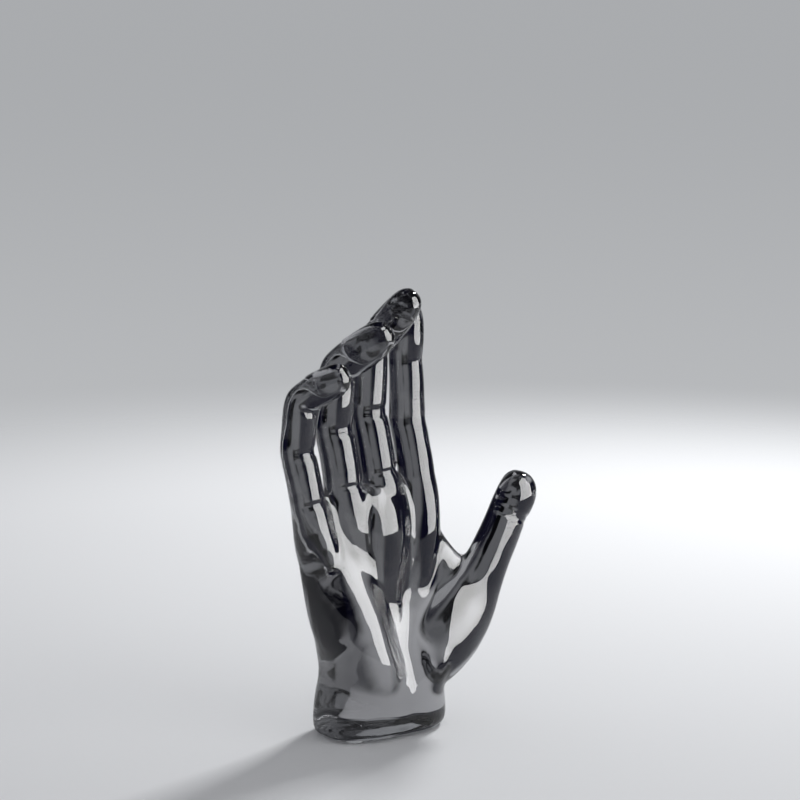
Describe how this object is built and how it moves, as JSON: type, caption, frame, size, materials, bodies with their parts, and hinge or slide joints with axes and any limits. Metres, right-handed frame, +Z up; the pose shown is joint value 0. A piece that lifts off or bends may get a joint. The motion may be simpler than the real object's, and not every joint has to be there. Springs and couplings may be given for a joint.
{
  "type": "decorative hand",
  "caption": "Open right hand in smoked solid glass, standing on its flat wrist, with curled fingers and the thumb apart.",
  "frame": {"origin": "middle of the foot, at the level of the table", "axes": "+Z up along the hand, +X towards the thumb, -Y where the palm looks"},
  "size_m": [0.13, 0.0467, 0.2041],
  "materials": {
    "smoked_glass": "polished, solid, neutral grey tint",
    "clear_pad": "clear soft plastic, satin"
  },
  "bodies": {
    "root": {"hand": "smoked_glass", "pad_left_front": "clear_pad", "pad_right_front": "clear_pad", "pad_left_back": "clear_pad", "pad_right_back": "clear_pad"}
  },
  "joints": []
}
